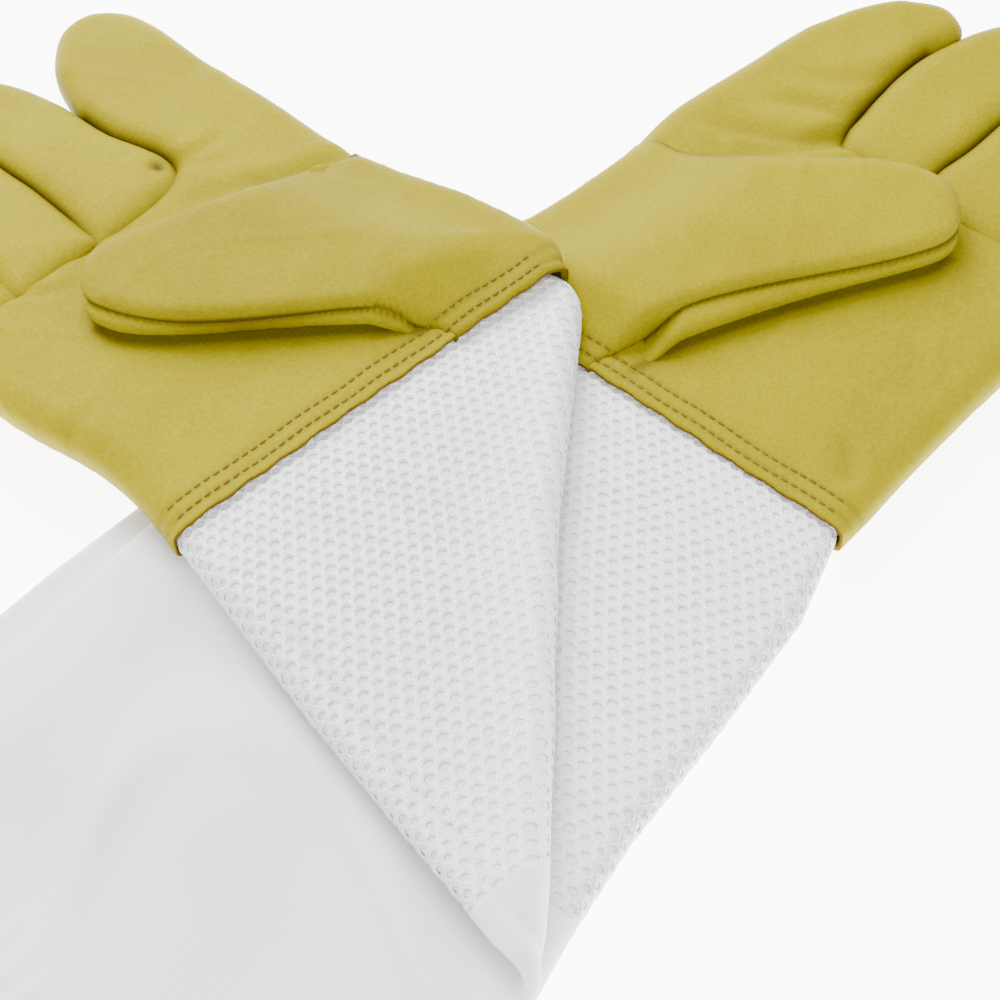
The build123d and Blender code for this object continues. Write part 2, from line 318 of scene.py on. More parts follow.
def sewn_rows(flat, cuff_y):
    """Depth of the two grooves that the stitching pulls in along the cuff."""
    depth = np.zeros(len(flat))
    for away in (3.5, 7.6):
        depth = np.maximum(depth, np.exp(-((flat[:, 1] - cuff_y - away) / 0.9) ** 2))
    return depth


def hand_piece(side):
    """The hand's leather skin, in the glove's own frame."""
    outline = soft_line(PALM_CUT[side], closed=False)
    cuff_y = CUFF_AT[side]
    piece = slab(side + "_hand_leather", outline, 0, THICK, 1.25)
    at = points_of(piece)
    flat = at[:, :2]
    finger = np.clip((flat[:, 1] - BENDS[side] + 6) / 25, 0, 1) * (flat[:, 0] > 10)
    half = THICK / 2 * (1 + 0.10 * finger)
    share = (at[:, 2] - THICK / 2) / (THICK / 2)
    z = THICK / 2 + share * half * palm_full(side, flat)
    top = np.clip(share, 0, 1)
    z += top * palm_waves(side, flat)
    for depth, near in folds(side, flat):
        z -= top * 1.3 * depth * np.exp(-near ** 2)
        z += top * 0.6 * depth * np.exp(-(near - 2.0) ** 2)
    z -= share * 0.35 * sewn_rows(flat, cuff_y)
    at[:, 2] = np.maximum(z, 0.0)
    set_points(piece, at)
    relax(piece, 2)
    open_cuff(piece, cuff_y)
    flat = points_of(piece)[:, :2]
    root = to_line(flat, soft_line(ROOT_SEAM[side], closed=False))
    # Dark line along the root seam, with painted shade a little wider in its crease.
    seam_and_painted_shade = 0.9 * np.exp(-(root / 1.5) ** 2) + 0.22 * np.exp(-(root / 4.0) ** 2)
    # Painted shade in the two stitching grooves along the cuff.
    seam_and_painted_shade = np.maximum(seam_and_painted_shade, 0.30 * sewn_rows(flat, cuff_y))
    # Painted shade in the drawn folds.
    for depth, near in folds(side, flat):
        seam_and_painted_shade = np.maximum(seam_and_painted_shade, 0.26 * depth * np.exp(-(near / 0.6) ** 2))
    # Painted shadow of the thumb's edge on the palm; it stays when the thumb bends up.
    below = to_line(flat, soft_line(UNDER_THUMB[side], closed=False))
    seam_and_painted_shade = np.maximum(seam_and_painted_shade, 0.60 * np.exp(-(below / 1.8) ** 2) + 0.08 * np.exp(-(below / 6.0) ** 2))
    # Painted shade in the pit at the index crotch.
    pit = np.linalg.norm(flat - np.array(CROTCH_PIT[side]), axis=1)
    mark(piece, np.minimum(np.maximum(seam_and_painted_shade, np.exp(-(pit / 2.2) ** 2)), 1))
    return piece


def open_cuff(piece, cuff_y):
    """Takes off the wall across the cuff, trims the edge and gives the leather its thickness."""
    bm = bmesh.new()
    bm.from_mesh(piece.data)
    gone = [f for f in bm.faces if f.normal.y < -0.6 and f.calc_center_median().y < cuff_y + 1.5]
    bmesh.ops.delete(bm, geom=gone, context="FACES")
    for v in bm.verts:
        if v.is_boundary:
            v.co.y = cuff_y + 0.22 * math.sin(v.co.x * 0.55) + 0.10 * math.sin(v.co.x * 1.9)
    bm.to_mesh(piece.data)
    bm.free()
    piece.data.materials.append(hide)
    piece.data.materials.append(cut_edge)
    wall = piece.modifiers.new("leather", "SOLIDIFY")
    wall.thickness, wall.offset = 1.15, -1
    wall.material_offset_rim = 1
    wall.use_even_offset = False
    bpy.context.view_layer.objects.active = piece
    bpy.ops.object.modifier_apply(modifier=wall.name)


def mark(piece, values):
    """Stores how dark each point's leather is painted: the seams' own dark lines, and painted shade in
    folds, grooves, pits and under the thumbs.
    """
    data = piece.data.attributes.new("seam_and_painted_shade", "FLOAT", "POINT")
    data.data.foreach_set("value", values.astype(np.float32))


def finish_leather(piece, side, materials):
    set_points(piece, laid(side, points_of(piece)))
    while len(piece.data.materials) < len(materials):
        piece.data.materials.append(hide)
    for i, m in enumerate(materials):
        piece.data.materials[i] = m
    if side == "left":
        bpy.context.view_layer.objects.active = piece
        piece.data.flip_normals()
    for face in piece.data.polygons:
        face.use_smooth = True


def local_point(side, x, y, z=6.0):
    return tuple(laid(side, [(x, y, z)])[0])


hands = {}
for side in ("left", "right"):
    piece = hand_piece(side)
    hands[side] = piece
    finish_leather(piece, side, [hide, cut_edge])
    local_point(side, 35, BENDS[side] - 7)
    local_point(side, 35, BENDS[side] + 9)
    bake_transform(piece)
    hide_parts(side + "_palm_panel", side + "_back_panel", side + "_index_front",
                side + "_index_back", side + "_index_fourchette")


def finger_piece(side, name):
    """A finger sewn on at its root: a faint dark line along its seam, deepened with painted shade where it
    meets its neighbours.
    """
    cut = FINGER_CUTS[side][name]
    outline = soft_line(cut)
    piece = slab(f"{side}_{name}_leather", outline, 0, THICK, 1.25)
    at = points_of(piece)
    flat = at[:, :2]
    edge = to_line(flat, outline, closed=True)
    full = crown(edge, 8.5, 0.24)
    share = (at[:, 2] - THICK / 2) / (THICK / 2)
    sink = 1.0 - 0.10 * np.exp(-((flat[:, 1] - cut[0][1]) / 14) ** 2)
    z = THICK / 2 + share * THICK / 2 * 1.06 * full * sink
    top = np.clip(share, 0, 1)
    z += top * 0.35 * ripple(flat[:, 0], flat[:, 1], 30, len(name) + 2)
    z += top * 0.14 * ripple(flat[:, 0], flat[:, 1], 11, 21)
    pit = np.linalg.norm(flat - np.array(CROTCH_PIT[side]), axis=1)
    pitted = 1.0 if (side, name) == ("right", "middle") else 0.0
    z -= top * 2.0 * pitted * np.exp(-(pit / 2.4) ** 2)
    at[:, 2] = np.maximum(z, 0.0)
    set_points(piece, at)
    relax(piece, 3)
    flat = points_of(piece)[:, :2]
    pit = np.linalg.norm(flat - np.array(CROTCH_PIT[side]), axis=1)
    seam = to_line(flat, outline, closed=True)
    beside = to_line(flat, soft_line(PALM_CUT[side], closed=False))
    for other, drawn in FINGER_CUTS[side].items():
        if other != name:
            beside = np.minimum(beside, to_line(flat, soft_line(drawn), closed=True))
    # Dark seam line, with painted shade in the gaps beside the neighbouring fingers.
    seam_and_painted_shade = 0.85 * np.exp(-(seam / 1.4) ** 2) + 0.18 * np.exp(-(seam / 4.0) ** 2)
    seam_and_painted_shade *= 0.12 + 0.88 * np.exp(-(beside / 2.2) ** 2)
    # Painted shade in the right middle finger's crotch pit.
    mark(piece, np.maximum(seam_and_painted_shade, pitted * np.exp(-(pit / 2.3) ** 2)))
    return piece


for side in ("left", "right"):
    for name in ("middle", "ring", "little"):
        piece = finger_piece(side, name)
        finish_leather(piece, side, [hide])
        local_point(side, 0, BENDS[side] - 7)
        local_point(side, 0, BENDS[side] + 9)
        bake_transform(piece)
        walls = ["fourchette"] if name == "little" else ["fourchette_inner", "fourchette_outer"]
        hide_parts(*[f"{side}_{name}_{w}" for w in ["front", "back", *walls]])

# The wing thumbs. The front of each is one cut with the panel on the thumb side of the hand, and lies
# across the palm. Its back is a second cut, whose edge is sewn to the front and rolls out below it.
THUMB_FRONT = {
    "right": [(67, 0.3), (71.8, 7), (72.9, 16), (71, 30), (68, 43), (63.5, 57), (59.5, 74), (53, 75.5),
              (42, 75), (30, 76), (18, 78.5), (6, 82), (-7, 86), (-16, 88.5), (-24, 88.5), (-30, 85.5),
              (-34, 80), (-35.5, 74.5), (-34, 68), (-30, 59.5), (-23.5, 50.5), (-14, 41.5), (-1, 31),
              (11, 21.5), (20, 12.5), (25, 6), (27, 0.3)],
    "left": [(67, -4.2), (68.6, 9), (67.3, 22), (64, 40), (61.6, 63), (60.8, 75), (55, 77), (46, 76.3),
             (37, 78), (28, 82.5), (18, 89), (9, 96.5), (1, 103), (-7, 107.5), (-15, 110),
             (-22, 109.5), (-28.5, 105), (-33, 98), (-33.5, 90), (-29, 80), (-22, 68.5), (-14, 57),
             (-4.4, 43), (4.4, 28), (11, 11), (15.5, -4.2)],
}
THUMB_BACK = {
    "right": [(56, 66), (40, 72), (20, 76), (0, 81), (-14, 85), (-25, 86), (-32, 82), (-36.5, 76)]
    + UNDER_THUMB["right"] + [(34, 14), (46, 34)],
    "left": [(54, 70), (36, 76), (18, 87), (4, 98), (-8, 105), (-18, 108), (-26, 105), (-32.5, 99)]
    + UNDER_THUMB["left"] + [(14, 4), (30, 26)],
}
THUMB_FOOT = {"right": ((24, 8), (56, 68)), "left": ((8, 8), (56, 76))}
CORNER = {"right": 6, "left": 5}


def over_foot(side, flat):
    """Distance of flat points past the thumb's foot seam, towards its tip."""
    a, b = (np.array(p, float) for p in THUMB_FOOT[side])
    along = (b - a) / np.linalg.norm(b - a)
    return (flat - a) @ np.array([-along[1], along[0]])


def ease(t):
    t = np.clip(t, 0, 1)
    return t * t * (3 - 2 * t)


THUMB_RISE, BACK_RISE = 8.9, 7.4


def by_cuff(side, flat, far, run):
    """1 where a thumb panel is sewn down at the cuff, 0 from the far distance above it."""
    return ease((far - (flat[:, 1] - CUFF_AT[side])) / run)


def front_top(side, flat):
    """Height of the leather of the thumb front and wing at flat points."""
    outer = to_line(flat, soft_line(THUMB_FRONT[side][:CORNER[side] + 1], closed=False))
    from_cuff = flat[:, 1] - CUFF_AT[side]
    lift = ease((outer - 3) / 40) * ease((from_cuff - 3) / 20)
    return THICK / 2 * (1.90 + 0.10 * ease(from_cuff / 40)) + 0.9 + THUMB_RISE * lift


def rolled_edge(side, flat):
    """How far the thumb's back is raised at flat points, and the height of its middle there."""
    lift = ease((over_foot(side, flat) + 2) / 14) * (1 - by_cuff(side, flat, 13, 6))
    return lift, np.minimum(9.0 + BACK_RISE * lift, front_top(side, flat) - 3.9)


def thumb_front(side):
    """Wing and thumb front: wrapped on the palm's rim, then rising over the palm to the thumb."""
    cut, turn = THUMB_FRONT[side], CORNER[side]
    outline = soft_line(cut, closed=False)
    piece = slab(side + "_thumb_front_leather", outline, 0, THICK, 1.2)
    at = points_of(piece)
    flat = at[:, :2]
    past = over_foot(side, flat)
    outer = to_line(flat, soft_line(cut[:turn + 1], closed=False))
    upper = to_line(flat, soft_line(cut[turn:18], closed=False))
    lower = to_line(flat, soft_line(cut[17:], closed=False))
    inner = np.minimum(upper, lower)
    share = (at[:, 2] - THICK / 2) / (THICK / 2)
    top = np.clip(share, 0, 1)
    over = ease((past + 4) / 20) * (1 - by_cuff(side, flat, 20, 13))
    high = front_top(side, flat)
    under = -0.9 * (1 - over) + 15.0 * over
    rolled = np.minimum(crown(np.minimum(outer, upper), 8.0, 0.36), crown(lower, 3.2, 0.46))
    full = crown(outer, 9.0, 0.32) * (1 - over) + rolled * over
    z = (high + under) / 2 + share * (high - under) / 2 * full
    z += top * (palm_waves(side, flat) - 1.5 * (1 - over) * (1 - crown(inner, 3.5, 0.0)))
    z += top * over * 0.30 * ripple(flat[:, 0], flat[:, 1], 34, 12 if side == "left" else 4)
    z -= share * 0.35 * sewn_rows(flat, CUFF_AT[side] - 0.4)
    at[:, 2] = z
    set_points(piece, at)
    relax(piece, 2)
    open_cuff(piece, CUFF_AT[side] - 0.4)
    flat, height = points_of(piece)[:, :2], points_of(piece)[:, 2]
    notch = np.linalg.norm(flat - np.array(cut[turn]), axis=1)
    least, more, reach, wide = (0.35, 0.85, 24.0, 1.9) if side == "left" else (0.12, 0.60, 9.0, 1.4)
    upper = to_line(flat, soft_line(cut[turn:18], closed=False))
    lower = to_line(flat, soft_line(cut[17:], closed=False))
    # Dark line along the upper seam, deeper near the notch: seam line, with painted shade in the fold
    # there.
    seam_and_painted_shade = (least + more * np.exp(-(notch / reach) ** 2)) * np.exp(-(upper / wide) ** 2)
    above = np.maximum(height - rolled_edge(side, flat)[1] - 2.6, 0)
    # Dark lower seam line where the front meets its rolled back, with faint painted shade a little wider
    # below its edge.
    sewn = 0.85 * np.exp(-(lower / 1.2) ** 2) * np.exp(-(above / 0.7) ** 2)
    seam_and_painted_shade = np.maximum(seam_and_painted_shade, sewn + 0.06 * np.exp(-(lower / 3.0) ** 2))
    # Painted shade in the stitching grooves along the cuff.
    seam_and_painted_shade = np.maximum(seam_and_painted_shade, 0.30 * sewn_rows(flat, CUFF_AT[side] - 0.4))
    mark(piece, np.minimum(seam_and_painted_shade, 1))
    return piece


def thumb_back(side):
    """The thumb's back cut, whose edge rolls out below the front."""
    outline = soft_line(THUMB_BACK[side])
    piece = slab(side + "_thumb_back_leather", outline, 0, 10.0, 1.2)
    at = points_of(piece)
    flat = at[:, :2]
    edge = to_line(flat, outline, closed=True)
    share = (at[:, 2] - 5.0) / 5.0
    lift, middle = rolled_edge(side, flat)
    at[:, 2] = middle + share * (2.4 + 0.3 * lift) * crown(edge, 4.0, 0.40)
    set_points(piece, at)
    relax(piece, 3)
    flat = points_of(piece)[:, :2]
    under = to_line(flat, soft_line(THUMB_FRONT[side][17:], closed=False))
    # Painted shade on the back where it runs in under the front's lower seam, along with the seam's dark
    # line.
    mark(piece, 0.8 * np.exp(-(under / 0.9) ** 2))
    return piece


fronts = {}
for side in ("left", "right"):
    (ax, ay), (bx, by) = THUMB_FOOT[side]
    length = math.hypot(bx - ax, by - ay)
    mx, my, ix, iy = (ax + bx) / 2, (ay + by) / 2, -(by - ay) / length, (bx - ax) / length
    front, back = thumb_front(side), thumb_back(side)
    fronts[side] = front
    finish_leather(front, side, [golden_hide if side == "right" else hide, cut_edge])
    finish_leather(back, side, [hide])
    for piece in (front, back):
        local_point(side, mx - 7 * ix, my - 7 * iy, 12)
        local_point(side, mx + 9 * ix, my + 9 * iy, 12)
        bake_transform(piece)
    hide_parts(side + "_thumb_front", side + "_thumb_wing")
    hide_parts(side + "_thumb_back")

# The cuff stitching. Two rows of ochre thread run round each cuff, across palm, wing and back. One short
# stitch is modelled, then copied along the rows, each copy laid on the leather that a ray finds there.
STITCH, PITCH = 2.2, 2.95

thread = plain("ochre_thread", (0.120, 0.085, 0.004), 0.7, 0.2)


def one_stitch():
    """A short stitch along X, round in section and tapered to its holes."""
    bpy.ops.object.select_all(action="DESELECT")
    bpy.ops.mesh.primitive_uv_sphere_add(segments=8, ring_count=6, radius=0.00040)
    stitch = bpy.context.object
    stitch.rotation_euler = (0, math.pi / 2, 0)
    bpy.ops.object.transform_apply(location=False, rotation=True, scale=False)
    stitch.scale = (STITCH / 0.8, 1, 0.8)
    bpy.ops.object.transform_apply(location=False, rotation=False, scale=True)
    return stitch


def felt(piece):
    """A piece's faces, ready for rays."""
    corners = [v.co.copy() for v in piece.data.vertices]
    return BVHTree.FromPolygons(corners, [list(f.vertices) for f in piece.data.polygons])


def lying_on(side, trees, x, y, above):
    """Where the leather is met at a point of the glove, from above the palm or from below the back."""
    start = Vector(laid(side, [(x, y, 60 if above else -40)])[0])
    aim = (Vector(laid(side, [(x, y, 10)])[0]) - start).normalized()
    met = [tree.ray_cast(start, aim) for tree in trees]
    met = [hit for hit in met if hit[0] is not None]
    return min(met, key=lambda hit: hit[3]) if met else None


def stitch_row(side, row, trees, pattern):
    """Copies of the stitch round one cuff, joined into one piece."""
    y0 = CUFF_AT[side] + (3.5 if row == "lower" else 7.6)
    copies = []
    for above in (True, False):
        for i in range(int(124 / PITCH)):
            x = -62 + i * PITCH
            y = y0 + 0.25 * math.sin(x * 0.21)
            a = lying_on(side, trees, x, y, above)
            b = lying_on(side, trees, x + STITCH * 0.8, y + 0.1, above)
            if a is None or b is None or (a[0] - b[0]).length > 0.004:
                continue
            along = (b[0] - a[0]).normalized()
            up = (a[1] + b[1]).normalized()
            across = up.cross(along).normalized()
            copy = pattern.copy()
            copy.data = pattern.data.copy()
            middle = (a[0] + b[0]) / 2 + up * 0.00008
            turn = Matrix((along, across, along.cross(across))).transposed().to_4x4()
            copy.matrix_world = Matrix.Translation(middle) @ turn
            bpy.context.collection.objects.link(copy)
            copies.append(copy)
    bpy.ops.object.select_all(action="DESELECT")
    for copy in copies:
        copy.select_set(True)
    bpy.context.view_layer.objects.active = copies[0]
    bpy.ops.object.join()
    bpy.ops.object.transform_apply()
    joined = bpy.context.object
    joined.name = f"{side}_{row}_stitches"
    for face in joined.data.polygons:
        face.use_smooth = True
    return joined


pattern = one_stitch()
pattern.data.materials.append(thread)
for side in ("left", "right"):
    trees = [felt(hands[side]), felt(fronts[side])]
    for row in ("lower", "upper"):
        stitches = stitch_row(side, row, trees, pattern)
        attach(stitches, side + "_hand")
        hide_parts(f"{side}_cuff_stitch_{row}")
bpy.data.objects.remove(pattern)

# The mesh sleeves. Each is a tube of soft three-layer spacer cloth, white, whose outer face is an open
# knit with rows of oval holes. It is sewn inside the leather cuff and flares towards the gauntlet.
# The left one lies straight, and the right one is folded diagonally under itself.
LENGTH = 128.0
FOLD_AT = np.array([-36.3, 8.3])
FOLD_ALONG = np.array([0.601, -0.799])
FOLD_ACROSS = np.array([0.799, 0.601])
FOLD_RADIUS = 4.3


def sleeve_width(side, v):
    """Thumb-side and little-side edges of the flat sleeve, at a distance v from the cuff."""
    if side == "left":
        thumb = np.interp(v, [-12, -3, 0, 60, 128, 150, 225, 268, 290],
                          [62, 64.5, 65.6, 71.5, 76, 77, 77, 62, 61])
        little = np.interp(v, [-12, -3, 0, 25, 64, 100, 128, 148, 225, 268, 290],
                           [62, 64.5, 66, 73.5, 77.5, 80, 84.5, 89, 89, 67, 66])
    else:
        thumb = np.interp(v, [-12, -3, 0, 128, 225, 268, 285], [62, 64.5, 65.6, 79, 80, 64, 63])
        little = np.interp(v, [-12, -3, 0, 60, 128, 225, 268, 285],
                           [62, 64.5, 65.6, 74, 81, 80, 64, 63])
    return thumb, little


def sleeve_height(side, v):
    """Half height of the flat sleeve."""
    if side == "left":
        return np.interp(v, [-12, 0, 12, 100, 128, 150, 290], [3.9, 4.2, 4.8, 4.8, 4.6, 4.7, 4.7])
    return np.interp(v, [-12, 0, 14, 60, 128, 150, 285], [3.9, 4.2, 4.9, 4.5, 3.6, 3.6, 3.6])


def seam_at(side, u):
    """How far from the cuff the mesh is sewn to the cotton, round the tube."""
    thumbward = ease((0.15 + 0.5 * np.cos(u * math.tau)) / 0.6)
    return LENGTH - 22 * thumbward if side == "left" else LENGTH - 5 - 12 * thumbward


def flat_tube(side, u, v, out=0.0):
    """A point of the flat tube before folding: u runs round it from 0 to 1, v along it."""
    thumb, little = sleeve_width(side, v)
    half = sleeve_height(side, v)
    wide, mid = (thumb + little) / 2, (thumb - little) / 2
    flat = np.maximum(wide - half, 1)
    round_it = 4 * flat + 2 * math.pi * half
    s = (u % 1.0) * round_it
    x, z = np.zeros_like(s), np.zeros_like(s)
    nx, nz = np.zeros_like(s), np.zeros_like(s)
    on_top = s < 2 * flat
    x[on_top], z[on_top], nz[on_top] = (flat - s)[on_top], half[on_top], 1
    turn = (s - 2 * flat) / half
    left = (~on_top) & (turn < math.pi)
    x[left], z[left] = (-flat - half * np.sin(turn))[left], (half * np.cos(turn))[left]
    nx[left], nz[left] = -np.sin(turn)[left], np.cos(turn)[left]
    back = s - 2 * flat - math.pi * half
    under = (back >= 0) & (back < 2 * flat)
    x[under], z[under], nz[under] = (-flat + back)[under], -half[under], -1
    turn = (back - 2 * flat) / half
    right = back >= 2 * flat
    x[right], z[right] = (flat + half * np.sin(turn))[right], (-half * np.cos(turn))[right]
    nx[right], nz[right] = np.sin(turn)[right], -np.cos(turn)[right]
    if side == "right":
        z = z - on_top * 1.5 * np.exp(-((x + flat - 3.2) / 1.5) ** 2) * ease((v - 22) / 16)
    return x + mid + nx * out, z + nz * out


def left_sleeve(u, v, out=0.0):
    x, z = flat_tube("left", u, v, out)
    top = z > 0
    settle = np.interp(v, [-12, 0, 30, 290], [6.3, 6.0, 4.9, 4.8])
    z = z + settle
    wave = 0.7 * ripple(x, v, 60, 2) * ease((v - 5) / 30)
    z = z + np.where(top, wave, 0)
    z = np.maximum(z, 0.05 - out)
    return np.stack([-x, -v + CUFF_AT["left"], z], 1)


def right_sleeve(u, v, out=0.0):
    x, z = flat_tube("right", u, v, out)
    wave = 0.9 * ripple(x, v, 52, 9) * ease((v - 5) / 30)
    z = z + np.where(z > 0, wave, 0.3 * wave)
    c, s = math.cos(RIGHT_TURN), math.sin(RIGHT_TURN)
    px = RIGHT_CUFF[0] + c * x + s * v
    py = RIGHT_CUFF[1] + s * x - c * v
    rise = np.interp(v, [-12, 0, 40, 290], [20.9, 20.6, 20.2, 20.2])
    across = (px - FOLD_AT[0]) * FOLD_ACROSS[0] + (py - FOLD_AT[1]) * FOLD_ACROSS[1]
    along = (px - FOLD_AT[0]) * FOLD_ALONG[0] + (py - FOLD_AT[1]) * FOLD_ALONG[1]
    across = across + 3.0 * np.exp(-((along - 75) / 55) ** 2)
    bow = 3.0 * np.exp(-((along - 75) / 55) ** 2)
    near = np.exp(-(across / 16) ** 2)
    squeezed = z * (1 - 0.42 * np.where(across > 0, 1, near))
    turn = np.clip(across / FOLD_RADIUS, 0, math.pi)
    folded = across > 0
    reach = FOLD_RADIUS + squeezed
    a2 = np.where(folded, reach * np.sin(turn), across)
    z2 = np.where(folded, -FOLD_RADIUS + reach * np.cos(turn), squeezed)
    past = across - math.pi * FOLD_RADIUS
    a2 = np.where(past > 0, -past, a2)
    z2 = np.where(past > 0, -2 * FOLD_RADIUS - squeezed, z2)
    a2 = a2 - bow
    qx = FOLD_AT[0] + a2 * FOLD_ACROSS[0] + along * FOLD_ALONG[0]
    qy = FOLD_AT[1] + a2 * FOLD_ACROSS[1] + along * FOLD_ALONG[1]
    qx = qx + np.where(past > 0, 0.178 * np.clip(-107 - qy, 0, 400) * np.clip((40 - qx) / 80, 0, 1), 0)
    return np.stack([qx, qy, rise + z2], 1)


def placed(points):
    return (points + SHIFT) / 1000.0


SLEEVES = {"left": left_sleeve, "right": right_sleeve}


def round_of(side):
    thumb, little = sleeve_width(side, np.array([60.0]))
    return float(2 * (thumb + little)[0] + 8)


def net(side):
    """The outer knit: one short ring of cord round each hole, all of them joined."""
    columns = int(round(round_of(side) / 4.4))
    rows = 2 * int(round(LENGTH + 8) / 5.7)
    pitch_v = (LENGTH + 7.0) / rows
    pitch_u = 1.0 / columns
    corners = [(0.5, 0.202), (0.5, -0.202), (0, -0.798), (-0.5, -0.202), (-0.5, 0.202), (0, 0.798)]
    outer = []
    for k in range(6):
        a, b = np.array(corners[k]), np.array(corners[(k + 1) % 6])
        outer += [a, (a + b) / 2]
    outer = np.array(outer)
    round_hole = outer / np.linalg.norm(outer * [0.95, 0.84], axis=1)[:, None]
    loops = [(outer, -0.26), (outer * 0.39 + round_hole * 0.22, 0.12), (round_hole * 0.275, -0.62)]
    col, row = np.meshgrid(np.arange(columns), np.arange(rows))
    centre_u = (col + 0.5 * (row % 2)).ravel() * pitch_u
    centre_v = row.ravel() * pitch_v - 6.0
    here = centre_v < seam_at(side, centre_u) - 1.5
    centre_u, centre_v = centre_u[here], centre_v[here]
    rng = np.random.default_rng(1)
    stretch = rng.uniform(0.82, 1.14, len(centre_u))
    points = []
    for i, (loop, out) in enumerate(loops):
        size = stretch if i == 2 else np.ones_like(stretch)
        u = centre_u[:, None] + loop[None, :, 0] * pitch_u * size[:, None]
        v = centre_v[:, None] + loop[None, :, 1] * pitch_v * size[:, None]
        points.append(SLEEVES[side](u.ravel(), v.ravel(), out).reshape(len(centre_u), 12, 3))
    points = np.stack(points, 1).reshape(-1, 3)
    start = np.arange(len(centre_u))[:, None] * 36
    k = np.arange(12)
    faces = []
    for ring in range(2):
        a, b = ring * 12 + k, ring * 12 + (k + 1) % 12
        quad = np.stack([b, a, a + 12, b + 12], 1).ravel()
        faces.append((start + quad[None, :]).reshape(-1, 4))
    faces = np.vstack(faces)
    if side == "right":
        faces = faces[:, ::-1]
    mesh = bpy.data.meshes.new(side + "_mesh_knit")
    mesh.from_pydata(placed(points).tolist(), [], faces.tolist())
    piece = bpy.data.objects.new(side + "_mesh_knit", mesh)
    bpy.context.collection.objects.link(piece)
    bpy.ops.object.select_all(action="DESELECT")
    piece.select_set(True)
    bpy.context.view_layer.objects.active = piece
    bpy.ops.object.mode_set(mode="EDIT")
    bpy.ops.mesh.select_all(action="SELECT")
    bpy.ops.mesh.remove_doubles(threshold=0.00006)
    bpy.ops.mesh.normals_make_consistent(inside=False)
    bpy.ops.object.mode_set(mode="OBJECT")
    for face in mesh.polygons:
        face.use_smooth = True
    return piece


def tube_cloth(name, side, v0, v1, out, across, along, thickness, shape=None):
    """A plain woven tube on the sleeve's own surface, with its thickness."""
    u, t = np.meshgrid(np.arange(across) / across, np.linspace(0, 1, along))
    v = v0(u) * (1 - t) + v1(u) * t
    points = SLEEVES[side](u.ravel(), v.ravel(), out)
    if shape is not None:
        points = shape(points, u.ravel(), v.ravel())
    rows, cols = np.meshgrid(np.arange(along - 1), np.arange(across), indexing="ij")
    a, b = rows * across + cols, rows * across + (cols + 1) % across
    faces = np.stack([a, b, b + across, a + across], -1).reshape(-1, 4)
    if side == "left":
        faces = faces[:, ::-1]
    mesh = bpy.data.meshes.new(name)
    mesh.from_pydata(placed(points).tolist(), [], faces.tolist())
    piece = bpy.data.objects.new(name, mesh)
    bpy.context.collection.objects.link(piece)
    bpy.context.view_layer.objects.active = piece
    wall = piece.modifiers.new("cloth", "SOLIDIFY")
    wall.thickness, wall.offset = thickness, -1
    bpy.ops.object.modifier_apply(modifier=wall.name)
    for face in piece.data.polygons:
        face.use_smooth = True
    return piece


def white_cloth(name, colour, glow, rough, weave):
    """White textile: fine threads in bump, uneven shade, a soft sheen."""
    made = bpy.data.materials.new(name)
    made.use_nodes = True
    nodes, links = made.node_tree.nodes, made.node_tree.links
    skin = nodes["Principled BSDF"]
    where = nodes.new("ShaderNodeTexCoord")
    noise = nodes.new("ShaderNodeTexNoise")
    noise.inputs["Scale"].default_value = 60 if weave == "twill" else 800
    noise.inputs["Detail"].default_value = 3
    ramp = nodes.new("ShaderNodeValToRGB")
    shade = 0.95 if weave == "twill" else 0.86
    ramp.color_ramp.elements[0].color = tuple(c * shade for c in colour) + (1,)
    ramp.color_ramp.elements[1].color = tuple(colour) + (1,)
    bump = nodes.new("ShaderNodeBump")
    bump.inputs["Strength"].default_value = 0.14 if weave == "twill" else 0.9
    bump.inputs["Distance"].default_value = 0.0003 if weave == "twill" else 0.0005
    links.new(where.outputs["Object"], noise.inputs["Vector"])
    links.new(noise.outputs["Fac"], ramp.inputs["Fac"])
    links.new(ramp.outputs["Color"], skin.inputs["Base Color"])
    if weave == "twill":
        turn = nodes.new("ShaderNodeMapping")
        turn.inputs["Rotation"].default_value = (0, 0, 0.6)
        wave = nodes.new("ShaderNodeTexWave")
        wave.inputs["Scale"].default_value = 420
        wave.inputs["Distortion"].default_value = 1.2
        wave.inputs["Detail"].default_value = 2
        wave.inputs["Detail Scale"].default_value = 2.5
        links.new(where.outputs["Object"], turn.inputs["Vector"])
        links.new(turn.outputs["Vector"], wave.inputs["Vector"])
        links.new(wave.outputs["Fac"], bump.inputs["Height"])
    else:
        thread = nodes.new("ShaderNodeTexNoise")
        thread.inputs["Scale"].default_value = 1500
        thread.inputs["Detail"].default_value = 2
        links.new(where.outputs["Object"], thread.inputs["Vector"])
        links.new(thread.outputs["Fac"], bump.inputs["Height"])
    links.new(bump.outputs["Normal"], skin.inputs["Normal"])
    skin.inputs["Roughness"].default_value = rough
    skin.inputs["Specular IOR Level"].default_value = glow
    skin.inputs["Sheen Weight"].default_value = 0.25
    skin.inputs["Sheen Roughness"].default_value = 0.4
    return made


knit_white = white_cloth("mesh_knit_white", (0.90, 0.89, 0.895), 0.8, 0.24, "thread")
spacer_white = white_cloth("mesh_spacer_white", (0.84, 0.83, 0.835), 0.3, 0.6, "thread")
cotton_white = white_cloth("cotton_twill_white", (0.74, 0.725, 0.76), 0.2, 0.85, "twill")

